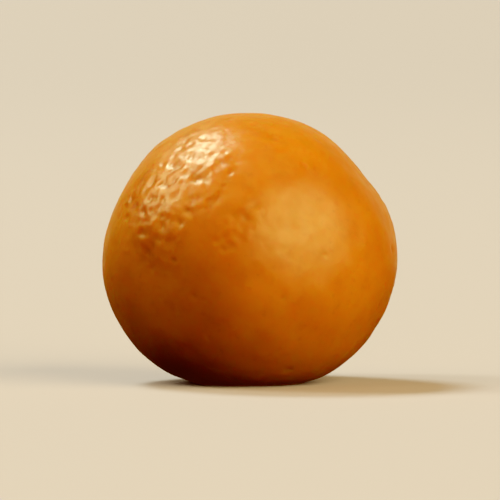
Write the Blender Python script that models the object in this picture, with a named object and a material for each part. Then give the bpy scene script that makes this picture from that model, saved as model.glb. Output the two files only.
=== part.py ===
"""A peda: one milk sweet of soft caramel dough, rolled into a ball between the palms.

Metres, +Z up. The origin is the middle of the flat spot underneath, and the shown side faces -Y.
Directions on the ball are an azimuth from +X towards +Y and an elevation above the horizon, in degrees.
"""

import math

import bmesh
import bpy
from mathutils import Vector, noise

NAME = "peda"

# Size of the finished sweet
WIDTH = 0.0380
DEPTH = 0.0373
HEIGHT = 0.0346

# The ball as it leaves the palms, before it is pressed and slumps
BALL_RADIUS = 0.0190
SUBDIVISIONS = 5

# What it stands on: the dough gives softly all round the spot that is truly flat
SLUMP_DEPTH = 0.0013
SLUMP_SOFTNESS = 0.0010
SPOT_HEIGHT = 0.00040
SPOT_SNAP = 0.00012

# Flats left by the palms: azimuth, elevation, depth of the flat, softness of its rim
PALM_FLATS = {
    "right shoulder": (-4.0, 37.0, 0.00020, 0.0012),
    "left shoulder": (172.0, 24.0, 0.00010, 0.0012),
    "right front": (-63.0, 9.0, 0.00015, 0.0009),
    "left front": (-126.0, -12.0, 0.00010, 0.0009),
    "back": (84.0, 14.0, 0.00030, 0.0012),
    "back left": (138.0, -22.0, 0.00020, 0.0013),
    "back right": (38.0, -10.0, 0.00015, 0.0013),
}

# Shallow dips left by fingertips: azimuth, elevation, radius, depth
FINGER_DIPS = {
    "left hollow": (-133.0, -2.0, 0.0036, 0.00022),
    "upper back": (118.0, 48.0, 0.0044, 0.00020),
    "lower right": (-18.0, -28.0, 0.0050, 0.00016),
    "side": (62.0, -34.0, 0.0040, 0.00022),
}

# Gentle unevenness of hand-rolled dough: size of the swell, height of the swell
SWELLS = ((0.0095, 0.00012), (0.0052, 0.00005))

COLOUR = (0.56, 0.22, 0.02, 1.0)
ROUGHNESS = 0.42


def direction(azimuth, elevation):
    """Unit vector towards a place on the ball."""
    flat = math.cos(math.radians(elevation))
    return Vector(
        (
            flat * math.cos(math.radians(azimuth)),
            flat * math.sin(math.radians(azimuth)),
            math.sin(math.radians(elevation)),
        )
    )


def soft_excess(height, softness):
    """How far height stands above zero, rounded off near zero over about the softness."""
    return softness * math.log1p(math.exp(height / softness))


def press(points, towards, depth, softness):
    """Flatten the side that faces towards, as a palm does, with a rounded rim."""
    level = max(point.dot(towards) for point in points) - depth
    for point in points:
        point -= towards * soft_excess(point.dot(towards) - level, softness)


def dip(points, towards, radius, depth):
    """Sink a round, shallow hollow that fades out at its rim."""
    centre = towards * max(point.dot(towards) for point in points)
    for point in points:
        fade = math.exp(-((point - centre).length / radius) ** 2)
        point -= towards * depth * fade


def swell(points, size, height):
    """Raise and lower the skin by slow, smooth noise."""
    for point in points:
        point += point.normalized() * height * noise.noise(point / size)


def corners(points):
    """Lowest and highest corner of the box round the points."""
    low = Vector(min(point[axis] for point in points) for axis in range(3))
    high = Vector(max(point[axis] for point in points) for axis in range(3))
    return low, high


def fit_to_size(points, height):
    """Scale the points to the finished width and depth and to this height, standing on z = 0."""
    low, high = corners(points)
    middle = (low + high) / 2.0
    size = high - low
    for point in points:
        point.x = (point.x - middle.x) * WIDTH / size.x
        point.y = (point.y - middle.y) * DEPTH / size.y
        point.z = (point.z - low.z) * height / size.z


def cut_spot(mesh):
    """Cut the flat spot that the sweet stands on and close it with one face."""
    bmesh.ops.bisect_plane(
        mesh,
        geom=mesh.verts[:] + mesh.edges[:] + mesh.faces[:],
        dist=SPOT_SNAP,
        plane_co=(0.0, 0.0, SPOT_HEIGHT),
        plane_no=(0.0, 0.0, -1.0),
        clear_outer=True,
    )
    rim = [edge for edge in mesh.edges if edge.is_boundary]
    bmesh.ops.holes_fill(mesh, edges=rim)
    for vertex in mesh.verts:
        vertex.co.z -= SPOT_HEIGHT
        if abs(vertex.co.z) < SPOT_SNAP:
            vertex.co.z = 0.0


def shape_sweet():
    """The whole sweet as one closed mesh."""
    mesh = bmesh.new()
    bmesh.ops.create_icosphere(mesh, subdivisions=SUBDIVISIONS, radius=BALL_RADIUS)
    points = [vertex.co for vertex in mesh.verts]
    for azimuth, elevation, depth, softness in PALM_FLATS.values():
        press(points, direction(azimuth, elevation), depth, softness)
    for azimuth, elevation, radius, depth in FINGER_DIPS.values():
        dip(points, direction(azimuth, elevation), radius, depth)
    for size, height in SWELLS:
        swell(points, size, height)
    press(points, direction(0.0, -90.0), SLUMP_DEPTH, SLUMP_SOFTNESS)
    fit_to_size(points, HEIGHT + SPOT_HEIGHT)
    cut_spot(mesh)
    bmesh.ops.recalc_face_normals(mesh, faces=mesh.faces[:])
    return mesh


def caramel():
    """Satin caramel skin."""
    material = bpy.data.materials.new("caramel_skin")
    material.use_nodes = True
    shader = material.node_tree.nodes["Principled BSDF"]
    shader.inputs["Base Color"].default_value = COLOUR
    shader.inputs["Roughness"].default_value = ROUGHNESS
    shader.inputs["Metallic"].default_value = 0.0
    return material


def build():
    """Make the sweet in a collection of its own."""
    for old in list(bpy.data.objects):
        bpy.data.objects.remove(old)
    collection = bpy.data.collections.new(NAME)
    bpy.context.scene.collection.children.link(collection)
    data = bpy.data.meshes.new(NAME)
    mesh = shape_sweet()
    mesh.to_mesh(data)
    mesh.free()
    data.materials.append(caramel())
    data.shade_smooth()
    collection.objects.link(bpy.data.objects.new(NAME, data))


build()
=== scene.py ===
"""Looks of one peda: the pebbled caramel skin of a hand-rolled milk sweet, on a plain pale floor.

Metres, +Z up. The skin is a fine mesh wrapped on the solid of the frame. Directions on the ball are an
azimuth from +X towards +Y and an elevation above the horizon, in degrees. The shown side faces -Y, which is
azimuth -90.
"""

import math
import random

import bmesh
import bpy
import numpy as np
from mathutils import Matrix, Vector, noise
from mathutils.bvhtree import BVHTree
from mathutils.kdtree import KDTree


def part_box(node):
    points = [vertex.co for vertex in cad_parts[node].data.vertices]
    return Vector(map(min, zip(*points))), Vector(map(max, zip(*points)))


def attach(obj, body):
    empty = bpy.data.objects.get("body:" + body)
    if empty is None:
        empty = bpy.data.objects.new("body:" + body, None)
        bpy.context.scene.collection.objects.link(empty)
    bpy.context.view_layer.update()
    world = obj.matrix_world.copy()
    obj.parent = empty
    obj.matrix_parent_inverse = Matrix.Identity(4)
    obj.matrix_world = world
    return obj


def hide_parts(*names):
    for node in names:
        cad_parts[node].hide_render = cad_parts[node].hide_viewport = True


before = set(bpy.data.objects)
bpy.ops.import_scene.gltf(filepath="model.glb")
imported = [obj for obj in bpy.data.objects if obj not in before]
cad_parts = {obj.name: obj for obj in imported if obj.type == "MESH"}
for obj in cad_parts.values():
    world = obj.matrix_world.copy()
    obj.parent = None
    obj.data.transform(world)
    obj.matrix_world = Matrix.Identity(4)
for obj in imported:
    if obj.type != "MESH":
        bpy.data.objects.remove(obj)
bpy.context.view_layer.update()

NODE = "peda"
MM = 0.001

# ---------------------------------------------------------------- the wrapped mesh
GRID = 128                      # squares along each side of the cube that becomes the skin
SMOOTHING_PASSES = 60           # evens out the flat faces of the solid
FOOT_BAND = 0.10 * MM           # anything this low stays flat on the floor
FOOT_FADE = 1.2 * MM            # from there up to this height the relief fades in
SAME_POINT = 0.001 * MM         # points of the solid closer than this are one point

# ---------------------------------------------------------------- relief of the skin
# Noise that raises and sinks the skin: how wide its swells are, and how high
SWELLS = ((9.0 * MM, 0.100 * MM), (4.4 * MM, 0.072 * MM), (2.3 * MM, 0.040 * MM))
BUMPS = ((1.10 * MM, 0.120 * MM), (0.60 * MM, 0.030 * MM))      # only where the skin is coarse
GRAIN_SIZE = 0.50 * MM
GRAIN_HEIGHT = 0.010 * MM

# Small dents like those of orange peel, close together where the skin is coarse
DIMPLE_TRIES = 2100
DIMPLE_RADII = (0.34 * MM, 0.62 * MM)
DIMPLE_DEPTHS = (0.18, 0.32)    # as a share of the radius
DIMPLE_LEAST = 0.2              # how deep they are on the smoothest skin, as a share of the coarsest's

DENT_REACH = 3.0                # a pore or dimple ends this many of its radii from its middle
LOWEST_DENT = -0.9              # none lies lower than this on a ball of radius 1

# Where the skin isn't smooth and dull: azimuth, elevation, spread in degrees, how coarse, how greasy
PATCHES = (
    (-121.0, 47.0, 17.0, 0.50, 1.0),
    (-104.0, 54.0, 15.0, 0.00, 1.0),
    (-134.0, 23.0, 21.0, 1.00, 1.0),
    (-134.0, 8.0, 16.0, 0.60, 0.7),
    (-112.0, 26.0, 14.0, 0.90, 1.0),
    (-95.0, 14.0, 13.0, 0.55, 0.0),
    (170.0, 40.0, 24.0, 0.80, 0.9),
    (20.0, 25.0, 28.0, 0.50, 0.2),
    (95.0, 30.0, 32.0, 0.70, 0.6),
    (150.0, -14.0, 28.0, 0.45, 0.3),
    (4.0, -26.0, 22.0, 0.35, 0.1),
)
COARSE_EVERYWHERE = 0.05
PATCH_FADE = (0.65, 1.20)       # a patch fades out between these shares of its spread
BORDER_WAVER = 7.0              # how far the borders of the patches wander, in degrees
BORDER_WAVER_SIZE = 4.0 * MM
PATCHY_MIDDLE = 0.85            # a patch's coarseness varies round this share of its full value
PATCHY_SWING = 0.35
PATCHY_SIZE = 5.0 * MM

PORE_COUNT = 90
PORE_RADII = (0.22 * MM, 0.55 * MM)
PORE_DEPTHS = (0.04 * MM, 0.13 * MM)

# Small craters with a raised rim: azimuth, elevation, radius, depth
CRATERS = (
    (-61.0, 38.0, 0.55 * MM, 0.09 * MM),
    (104.0, 34.0, 0.90 * MM, 0.15 * MM),
    (66.0, -8.0, 0.75 * MM, 0.12 * MM),
    (168.0, 44.0, 0.80 * MM, 0.13 * MM),
)
CRATER_FLOOR = 0.75             # its width, as a share of the crater's radius, as are the next two
CRATER_RIM = 1.25
CRATER_RIM_WIDTH = 0.38
CRATER_RIM_HEIGHT = 0.45        # as a share of the crater's depth

# Faint creases: start azimuth and elevation, end azimuth and elevation, depth
CREASES = (
    (-178.0, 24.0, 176.0, -8.0, 0.07 * MM),
    (-172.0, 10.0, -168.0, -22.0, 0.05 * MM),
    (120.0, 10.0, 96.0, -16.0, 0.08 * MM),
    (40.0, 52.0, 66.0, 36.0, 0.06 * MM),
    (12.0, -12.0, 24.0, -34.0, 0.07 * MM),
)
CREASE_WIDTH = 0.40 * MM
CREASE_WAVER = 0.030            # how far a crease wanders sideways, in radians
CREASE_WAVER_SIZE = 2.5 * MM
CREASE_FADE = 0.25              # the share of its length over which each end fades
CREASE_OVERRUN = 0.02           # how far it fades on past each end, in radians

# How deep the skin is sunk decides how much painted shade it gets there, in the pits, creases and dimples
SUNK_DEPTH = 0.10 * MM          # darkest from this depth on
DIMPLE_DARKNESS = 0.7           # how much a dimple's depth counts, against that of a pore or crease

# Seeds of the random draws and of the noise fields, which use one more for each layer
SWELL_SEED = 0
PATCHY_SEED = 3
BORDER_SEED = 5
BUMP_SEED = 6
GRAIN_SEED = 9
PORE_SEED = 11
PORE_PLACE_SEED = 12
CREASE_SEED = 21
DIMPLE_SEED = 31
DIMPLE_PLACE_SEED = 32
SEED_SHIFT = (7.3, 3.1, 5.7)    # how far each seed moves a noise field, in swells


def direction(azimuth, elevation):
    """Unit vector towards a place on the ball."""
    flat = math.cos(math.radians(elevation))
    return np.array(
        (
            flat * math.cos(math.radians(azimuth)),
            flat * math.sin(math.radians(azimuth)),
            math.sin(math.radians(elevation)),
        )
    )


def unit(vectors):
    """The same vectors with length 1."""
    return vectors / np.linalg.norm(vectors, axis=1, keepdims=True)


def step(values, low, high):
    """0 below low, 1 above high and a smooth ramp between."""
    share = np.clip((values - low) / (high - low), 0.0, 1.0)
    return share * share * (3.0 - 2.0 * share)


def rounded_cube():
    """A finely divided cube, its points spread so that they stay even once it is a ball."""
    mesh = bmesh.new()
    bmesh.ops.create_cube(mesh, size=2.0)
    bmesh.ops.subdivide_edges(mesh, edges=mesh.edges[:], cuts=GRID - 1, use_grid_fill=True)
    for vertex in mesh.verts:
        for axis in range(3):
            vertex.co[axis] = math.tan(vertex.co[axis] * math.pi / 4.0)
        vertex.co.normalize()
    data = bpy.data.meshes.new("skin")
    mesh.to_mesh(data)
    mesh.free()
    return data


def read_points(data):
    """The mesh's points as an array."""
    points = np.empty(len(data.vertices) * 3)
    data.vertices.foreach_get("co", points)
    return points.reshape(-1, 3)


def solid_surface(node):
    """The solid's own surface, to find points on it."""
    mesh = bmesh.new()
    mesh.from_mesh(node.data)
    bmesh.ops.remove_doubles(mesh, verts=mesh.verts[:], dist=SAME_POINT)
    surface = BVHTree.FromBMesh(mesh)
    mesh.free()
    return surface


def wrap(rays, surface, centre):
    """Where each ray from the centre meets the solid."""
    start = Vector(centre)
    return np.array([surface.ray_cast(start, Vector(ray))[0] for ray in rays])


def smooth(points, edges, passes):
    """Average each point with its neighbours, over and over."""
    count = np.bincount(edges.ravel(), minlength=len(points))[:, None]
    for _ in range(passes):
        total = np.zeros_like(points)
        for axis in range(3):
            total[:, axis] += np.bincount(edges[:, 0], points[edges[:, 1], axis], len(points))
            total[:, axis] += np.bincount(edges[:, 1], points[edges[:, 0], axis], len(points))
        points = (points + total / count) / 2.0
    return points


def noise_field(points, size, seed):
    """Smooth noise from -1 to 1 at each point, with swells of the given size."""
    shift = Vector([seed * swells for swells in SEED_SHIFT])
    return np.array([noise.noise(Vector(point) / size + shift) for point in points])


def patch(rays, azimuth, elevation, spread, waver):
    """1 round a place on the ball and 0 away from it, with a soft border that wanders about the spread."""
    cosine = np.clip(rays @ direction(azimuth, elevation), -1.0, 1.0)
    inner, outer = PATCH_FADE
    return 1.0 - step(np.degrees(np.arccos(cosine)) + waver, inner * spread, outer * spread)


def skin_character(rays, points):
    """How coarse and how greasy the skin is at each point, each from 0 to 1."""
    waver = BORDER_WAVER * noise_field(points, BORDER_WAVER_SIZE, BORDER_SEED)
    coarse = np.zeros(len(rays))
    greasy = np.zeros(len(rays))
    for azimuth, elevation, spread, how_coarse, how_greasy in PATCHES:
        here = patch(rays, azimuth, elevation, spread, waver)
        coarse = np.maximum(coarse, how_coarse * here)
        greasy = np.maximum(greasy, how_greasy * here)
    patchy = PATCHY_MIDDLE + PATCHY_SWING * noise_field(points, PATCHY_SIZE, PATCHY_SEED)
    return np.clip(COARSE_EVERYWHERE + coarse * patchy, 0.0, 1.0), greasy


def scattered_directions(count, seed):
    """Evenly random unit vectors, none of them nearly straight down."""
    draw = random.Random(seed)
    found = []
    for _ in range(count):
        height = draw.uniform(LOWEST_DENT, 1.0)
        angle = draw.uniform(0.0, 2.0 * math.pi)
        flat = math.sqrt(1.0 - height * height)
        found.append((flat * math.cos(angle), flat * math.sin(angle), height))
    return found


def pores(rays, radius_here):
    """Small pits scattered over the skin. Gives their depth at each point, in metres."""
    draw = random.Random(PORE_SEED)
    depth_here = np.zeros(len(rays))
    for towards in scattered_directions(PORE_COUNT, PORE_PLACE_SEED):
        radius = draw.uniform(*PORE_RADII)
        depth = draw.uniform(*PORE_DEPTHS) * radius / PORE_RADII[1]
        away = np.linalg.norm(rays - np.array(towards), axis=1) * radius_here
        close = away < DENT_REACH * radius
        depth_here[close] += depth * np.exp(-((away[close] / radius) ** 2))
    return depth_here


def dimples(rays, radius_here, coarse):
    """Many small dents, as on orange peel, mostly where the skin is coarse. Gives their depth, in metres."""
    tree = KDTree(len(rays))
    for index, ray in enumerate(rays):
        tree.insert(ray, index)
    tree.balance()
    draw = random.Random(DIMPLE_SEED)
    depth_here = np.zeros(len(rays))
    for towards in scattered_directions(DIMPLE_TRIES, DIMPLE_PLACE_SEED):
        radius = draw.uniform(*DIMPLE_RADII)
        share = draw.uniform(*DIMPLE_DEPTHS)
        chance = draw.random()
        middle = tree.find(towards)[1]
        if chance > coarse[middle]:
            continue
        depth = share * radius * (DIMPLE_LEAST + (1.0 - DIMPLE_LEAST) * coarse[middle])
        angle = radius / radius_here[middle]
        for _, index, away in tree.find_range(towards, DENT_REACH * angle):
            depth_here[index] += depth * math.exp(-((away / angle) ** 2))
    return depth_here


def craters(rays, radius_here):
    """Shallow craters: a sunk middle inside a raised rim. Gives the height at each point."""
    height_here = np.zeros(len(rays))
    for azimuth, elevation, radius, depth in CRATERS:
        away = np.linalg.norm(rays - direction(azimuth, elevation), axis=1) * radius_here / radius
        height_here -= depth * np.exp(-((away / CRATER_FLOOR) ** 2))
        height_here += CRATER_RIM_HEIGHT * depth * np.exp(-(((away - CRATER_RIM) / CRATER_RIM_WIDTH) ** 2))
    return height_here


def creases(rays, points, radius_here):
    """Fine wavering grooves. Gives their depth at each point."""
    depth_here = np.zeros(len(rays))
    waver = noise_field(points, CREASE_WAVER_SIZE, CREASE_SEED) * CREASE_WAVER
    for start_azimuth, start_elevation, end_azimuth, end_elevation, depth in CREASES:
        start = direction(start_azimuth, start_elevation)
        end = direction(end_azimuth, end_elevation)
        across = np.cross(start, end)
        across /= np.linalg.norm(across)
        along = np.cross(across, start)
        sideways = (rays @ across + waver) * radius_here
        travel = np.arctan2(rays @ along, rays @ start)
        length = math.acos(float(np.clip(start @ end, -1.0, 1.0)))
        fade_in = step(travel, -CREASE_OVERRUN, CREASE_FADE * length)
        fade_out = 1.0 - step(travel, (1.0 - CREASE_FADE) * length, length + CREASE_OVERRUN)
        fade = fade_in * fade_out
        depth_here += depth * fade * np.exp(-((sideways / CREASE_WIDTH) ** 2))
    return depth_here


def set_attribute(data, name, values):
    """Store one number for each point of the mesh."""
    attribute = data.attributes.new(name, "FLOAT", "POINT")
    attribute.data.foreach_set("value", values.astype(np.float32))


def make_skin(node):
    """The skin of the sweet: the solid's form, smoothed, with all its fine relief as real geometry."""
    low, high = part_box(node.name)
    centre = np.array((low + high) / 2.0)
    data = rounded_cube()
    rays = read_points(data)
    edges = np.empty(len(data.edges) * 2, dtype=np.int64)
    data.edges.foreach_get("vertices", edges)
    edges = edges.reshape(-1, 2)

    wrapped = wrap(rays, solid_surface(node), centre)
    body = smooth(wrapped, edges, SMOOTHING_PASSES)
    on_foot = wrapped[:, 2] < FOOT_BAND
    rays = unit(body - centre)
    radius_here = np.linalg.norm(body - centre, axis=1)

    coarse, greasy = skin_character(rays, body)
    pits = pores(rays, radius_here)
    folds = creases(rays, body, radius_here)
    dents = dimples(rays, radius_here, coarse)
    relief = craters(rays, radius_here) - pits - folds - dents
    for seed, (size, height) in enumerate(SWELLS, SWELL_SEED):
        relief += height * noise_field(body, size, seed)
    for seed, (size, height) in enumerate(BUMPS, BUMP_SEED):
        relief += coarse * height * noise_field(body, size, seed)
    relief += GRAIN_HEIGHT * noise_field(body, GRAIN_SIZE, GRAIN_SEED)

    foot = 1.0 - step(body[:, 2], FOOT_BAND, FOOT_FADE)
    points = body + rays * (relief * (1.0 - foot))[:, None]
    points[on_foot, 2] = 0.0
    points[:, 2] = np.maximum(points[:, 2], 0.0)
    data.vertices.foreach_set("co", points.ravel())
    set_attribute(data, "coarse", coarse)
    set_attribute(data, "greasy", greasy)
    # how deep the skin is sunk, which the material turns into painted shade
    set_attribute(data, "sunk", np.clip((pits + folds + DIMPLE_DARKNESS * dents) / SUNK_DEPTH, 0.0, 1.0))
    data.update()
    data.shade_smooth()
    skin = bpy.data.objects.new("peda_skin", data)
    bpy.context.scene.collection.objects.link(skin)
    return skin


# ---------------------------------------------------------------- materials
class Shader:
    """A material's node tree, with short calls to add nodes and link them."""

    def __init__(self, name):
        self.material = bpy.data.materials.new(name)
        self.material.use_nodes = True
        self.tree = self.material.node_tree
        self.principled = self.tree.nodes["Principled BSDF"]
        self.place = None

    def add(self, kind, **settings):
        node = self.tree.nodes.new(kind)
        for name, value in settings.items():
            setattr(node, name, value)
        return node

    def link(self, source, target):
        self.tree.links.new(source, target)

    def noise(self, scale, detail=3.0, roughness=0.5):
        """Noise in object space, whose scale is in swells for each metre."""
        if self.place is None:
            self.place = self.add("ShaderNodeTexCoord").outputs["Object"]
        node = self.add("ShaderNodeTexNoise")
        node.inputs["Scale"].default_value = scale
        node.inputs["Detail"].default_value = detail
        node.inputs["Roughness"].default_value = roughness
        self.link(self.place, node.inputs["Vector"])
        return node.outputs["Fac"]

    def attribute(self, name):
        """A number stored on the mesh."""
        return self.add("ShaderNodeAttribute", attribute_name=name).outputs["Fac"]

    def ramp(self, value, low, high, out_low=0.0, out_high=1.0):
        """Map a range of values to another, held at both ends."""
        node = self.add("ShaderNodeMapRange", interpolation_type="SMOOTHSTEP")
        for name, number in (
            ("From Min", low),
            ("From Max", high),
            ("To Min", out_low),
            ("To Max", out_high),
        ):
            node.inputs[name].default_value = number
        self.link(value, node.inputs["Value"])
        return node.outputs["Result"]

    # A Mix node's inputs 2 and 3 are its two numbers, and 6 and 7 its two colours
    def blend(self, share, first, second):
        """Mix two numbers, each a socket."""
        node = self.add("ShaderNodeMix", data_type="FLOAT")
        self.link(share, node.inputs[0])
        self.link(first, node.inputs[2])
        self.link(second, node.inputs[3])
        return node.outputs[0]

    def mix(self, share, first, second):
        """Mix two colours, each a colour or a socket."""
        node = self.add("ShaderNodeMix", data_type="RGBA")
        self.link(share, node.inputs["Factor"])
        for value, socket in ((first, node.inputs[6]), (second, node.inputs[7])):
            if isinstance(value, tuple):
                socket.default_value = (*value, 1.0)
            else:
                self.link(value, socket)
        return node.outputs[2]


# Colours of the skin, linear
CARAMEL = (0.660, 0.196, 0.010)
CARAMEL_PALE = (0.710, 0.225, 0.013)
CARAMEL_DEEP = (0.560, 0.145, 0.006)
FRECKLE = (0.440, 0.105, 0.004)
# painted shade, mixed in where the skin is sunk in pits, creases and dimples
PAINTED_PIT_SHADE = (0.380, 0.085, 0.003)

SUBSURFACE = 1.0
SUBSURFACE_RADIUS = (1.0, 0.19, 0.05)
SUBSURFACE_SCALE = 4.4 * MM
GREASE_TINT = (1.0, 1.0, 0.62)  # the grease on the skin is faintly yellow
GREASE_IOR = 1.62

# Noise that varies the skin's colour and gloss, in swells for each metre
MOTTLE = 130.0
SPOTS = 420.0
FRECKLES = 900.0
DULL_GRAIN = 500.0
GREASY_GRAIN = 1100.0
FINE_GRAIN = 3000.0

# How strongly the deeper colours show where they are at their fullest
FAINT_SPOTS = 0.40              # on smooth skin
STRONG_SPOTS = 0.85             # on coarse skin
FRECKLE_SHARE = 0.22
# how strongly the painted shade shows in the deepest pits, creases and dimples
PIT_SHADE_SHARE = 0.20

# Roughness of dull and of greasy skin, each from its glossiest spots to its dullest
DULL_ROUGHNESS = (0.31, 0.46)
GREASY_ROUGHNESS = (0.28, 0.40)
BUMP_DISTANCE = 0.03 * MM
BUMP_STRENGTH = (0.25, 0.55)    # on smooth and on coarse skin


def caramel_skin():
    """Milk dough browned to caramel: mottled, freckled, a little translucent, with a greasy satin skin and
    painted shade in its pits, creases and dimples.
    """
    shader = Shader("caramel_skin")
    broad = shader.ramp(shader.noise(MOTTLE, detail=2.0), low=0.35, high=0.65)
    colour = shader.mix(broad, CARAMEL, CARAMEL_PALE)
    spots = shader.noise(SPOTS, detail=4.0, roughness=0.6)
    faint = shader.ramp(spots, low=0.48, high=0.72, out_high=FAINT_SPOTS)
    strong = shader.ramp(spots, low=0.42, high=0.66, out_high=STRONG_SPOTS)
    colour = shader.mix(shader.blend(shader.attribute("coarse"), faint, strong), colour, CARAMEL_DEEP)
    freckles = shader.ramp(shader.noise(FRECKLES, detail=2.0), low=0.64, high=0.74, out_high=FRECKLE_SHARE)
    colour = shader.mix(freckles, colour, FRECKLE)
    # painted shade: the skin is darkened where it is sunk in pits, creases and dimples
    pits = shader.ramp(shader.attribute("sunk"), low=0.2, high=1.0, out_high=PIT_SHADE_SHARE)
    colour = shader.mix(pits, colour, PAINTED_PIT_SHADE)
    principled = shader.principled
    shader.link(colour, principled.inputs["Base Color"])

    dull = shader.ramp(shader.noise(DULL_GRAIN, detail=3.0), 0.3, 0.7, *DULL_ROUGHNESS)
    greasy = shader.ramp(shader.noise(GREASY_GRAIN, detail=2.0), 0.3, 0.7, *GREASY_ROUGHNESS)
    rough = shader.blend(shader.ramp(shader.attribute("greasy"), low=0.05, high=0.60), dull, greasy)
    shader.link(rough, principled.inputs["Roughness"])
    principled.inputs["IOR"].default_value = GREASE_IOR
    principled.inputs["Specular Tint"].default_value = (*GREASE_TINT, 1.0)
    principled.inputs["Subsurface Weight"].default_value = SUBSURFACE
    principled.inputs["Subsurface Radius"].default_value = SUBSURFACE_RADIUS
    principled.inputs["Subsurface Scale"].default_value = SUBSURFACE_SCALE

    bump = shader.add("ShaderNodeBump")
    bump.inputs["Distance"].default_value = BUMP_DISTANCE
    shader.link(shader.ramp(shader.attribute("coarse"), 0.0, 1.0, *BUMP_STRENGTH), bump.inputs["Strength"])
    shader.link(shader.noise(FINE_GRAIN, detail=3.0), bump.inputs["Height"])
    shader.link(bump.outputs["Normal"], principled.inputs["Normal"])
    return shader.material


def plain(name, colour, roughness):
    """One even colour, for the studio floor."""
    shader = Shader(name)
    shader.principled.inputs["Base Color"].default_value = (*colour, 1.0)
    shader.principled.inputs["Roughness"].default_value = roughness
    return shader.material


# ---------------------------------------------------------------- studio
FLOOR_FLAT = 1.00               # flat as far as this, then it curves up ever more into a low wall
FLOOR_RADIUS = 2.05             # to the top of the wall
WALL_HEIGHT = 0.15
SWEEP_POWER = 3                 # the power of the distance by which the floor rises
SWEEP_STEPS = 24
FLOOR_SIDES = 128
SEAM = 0.01 * MM                # points of the floor closer than this are one point
FLOOR_COLOUR = (0.62, 0.62, 0.80)
FLOOR_ROUGHNESS = 0.9

CAMERA_DISTANCE = 1.03
CAMERA_ELEVATION = 3.0
VIEW_WIDTH = 0.064              # what the frame spans at the ball, in metres
VIEW_CENTRE_HEIGHT = 0.0170
SENSOR = 36.0                   # in millimetres, as the lens is
FAR_CLIP = 10.0


def add_floor():
    """A plain pale floor that rises towards its edge, so that no view shows an end to it.

    It takes shadows, but throws no light up at the sweet and isn't reflected in it.
    """
    profile = [(0.0, 0.0)]
    for index in range(SWEEP_STEPS + 1):
        share = index / SWEEP_STEPS
        radius = FLOOR_FLAT + (FLOOR_RADIUS - FLOOR_FLAT) * share
        profile.append((radius, WALL_HEIGHT * share ** SWEEP_POWER))
    mesh = bmesh.new()
    points = [mesh.verts.new((radius, 0.0, height)) for radius, height in profile]
    edges = [mesh.edges.new(pair) for pair in zip(points, points[1:])]
    bmesh.ops.spin(
        mesh,
        geom=points + edges,
        axis=(0.0, 0.0, 1.0),
        cent=(0.0, 0.0, 0.0),
        angle=math.radians(360.0),
        steps=FLOOR_SIDES,
    )
    bmesh.ops.remove_doubles(mesh, verts=mesh.verts[:], dist=SEAM)
    bmesh.ops.recalc_face_normals(mesh, faces=mesh.faces[:])
    data = bpy.data.meshes.new("floor")
    mesh.to_mesh(data)
    mesh.free()
    data.shade_smooth()
    data.materials.append(plain("pale_floor", FLOOR_COLOUR, FLOOR_ROUGHNESS))
    floor = bpy.data.objects.new("floor", data)
    bpy.context.scene.collection.objects.link(floor)
    floor.visible_diffuse = False
    floor.visible_glossy = False


def look_at(item, place, target):
    """Put a camera or light at a place and turn it to the target."""
    item.location = place
    item.rotation_euler = (Vector(target) - Vector(place)).to_track_quat("-Z", "Y").to_euler()


def add_camera():
    """A long lens, almost level, as in the photograph."""
    data = bpy.data.cameras.new("camera")
    data.sensor_width = SENSOR
    data.lens = SENSOR * CAMERA_DISTANCE / VIEW_WIDTH
    data.clip_end = FAR_CLIP
    camera = bpy.data.objects.new("camera", data)
    bpy.context.scene.collection.objects.link(camera)
    target = Vector((0.0, 0.0, VIEW_CENTRE_HEIGHT))
    tilt = math.radians(CAMERA_ELEVATION)
    back = Vector((0.0, -math.cos(tilt), math.sin(tilt)))
    look_at(camera, target + back * CAMERA_DISTANCE, target)
    bpy.context.scene.camera = camera


LAMP_DISTANCE = 4.2
EMBER = (1.0, 0.56, 0.18)
WARM = (1.0, 0.66, 0.235)
MILD_WARM = (1.0, 0.80, 0.42)
PALE_WARM = (1.0, 0.96, 0.60)
AMBIENT = (1.0, 0.30, 0.05)
AMBIENT_STRENGTH = 0.06

# Each lamp's azimuth and elevation, how wide and how tall it looks from the ball, all in degrees, and then
# its strength and its colour
LAMPS = {
    "window": (-43.0, 25.0, 59.5, 48.5, 8.4, WARM),
    "key": (136.0, 59.0, 18.0, 14.0, 3.5, PALE_WARM),
    "strip": (174.0, 42.0, 13.5, 40.0, 2.6, MILD_WARM),
    "fill": (-143.0, 45.0, 29.0, 24.5, 0.7, EMBER),
    "top": (-90.0, 80.0, 41.0, 41.0, 0.3, WARM),
    "back": (85.0, 10.0, 70.0, 36.0, 0.9, WARM),
}


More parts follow.
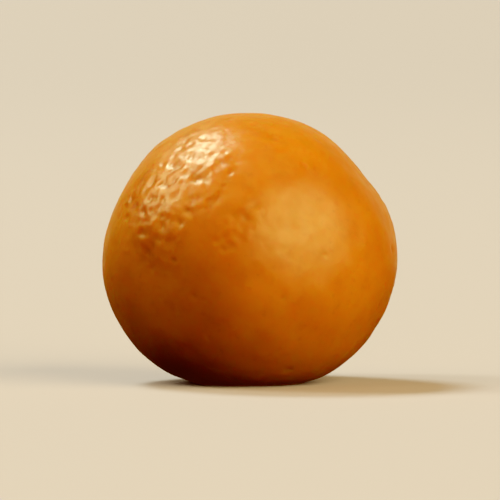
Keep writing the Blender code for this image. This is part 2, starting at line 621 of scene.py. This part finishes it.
def add_softbox(name, azimuth, elevation, span_across, span_up, strength, colour):
    """A soft oval light in a direction from the ball: its spans in degrees, its strength at the ball."""
    data = bpy.data.lights.new(name, "AREA")
    data.shape = "ELLIPSE"
    data.size = 2.0 * LAMP_DISTANCE * math.tan(math.radians(span_across / 2.0))
    data.size_y = 2.0 * LAMP_DISTANCE * math.tan(math.radians(span_up / 2.0))
    data.energy = strength * math.pi * LAMP_DISTANCE ** 2
    data.color = colour
    light = bpy.data.objects.new(name, data)
    bpy.context.scene.collection.objects.link(light)
    light.visible_camera = False
    look_at(light, Vector(direction(azimuth, elevation)) * LAMP_DISTANCE, (0.0, 0.0, VIEW_CENTRE_HEIGHT))


def add_lights():
    """All the lamps, and a faint glow from all round."""
    for name, lamp in LAMPS.items():
        add_softbox(name, *lamp)
    world = bpy.data.worlds.new("world")
    world.use_nodes = True
    background = world.node_tree.nodes["Background"]
    background.inputs["Color"].default_value = (*AMBIENT, 1.0)
    background.inputs["Strength"].default_value = AMBIENT_STRENGTH
    bpy.context.scene.world = world


# ---------------------------------------------------------------- exposure
WHITE_POINT = 2.5               # scene brightness that comes out as white
TOE = 0.034                     # scene brightness below which shadows are deepened
CURVE_STEPS = 50


def roll_off(brightness):
    """Brightness as a camera records it: deepened in the shadows, and bent gently to the white point."""
    shoulder = brightness * (1.0 + brightness / WHITE_POINT ** 2) / (1.0 + brightness)
    return shoulder * brightness / (brightness + TOE)


def expose():
    """Give the render a camera's tone curve, the same for red, green and blue."""
    settings = bpy.context.scene.view_settings
    settings.view_transform = "Standard"
    settings.use_curve_mapping = True
    mapping = settings.curve_mapping
    mapping.white_level = (WHITE_POINT, WHITE_POINT, WHITE_POINT)
    curve = mapping.curves[3]       # the one for red, green and blue together
    for index in range(1, CURVE_STEPS):
        share = (index / CURVE_STEPS) ** 2      # squared, so that the points lie closest in the shadows
        curve.points.new(share, roll_off(share * WHITE_POINT))
    for point in curve.points:
        point.handle_type = "VECTOR"
    mapping.update()


def build():
    """The sweet, then the studio round it."""
    skin = make_skin(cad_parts[NODE])
    skin.data.materials.append(caramel_skin())
    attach(skin, "root")
    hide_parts(NODE)
    add_floor()
    add_camera()
    add_lights()
    expose()


build()
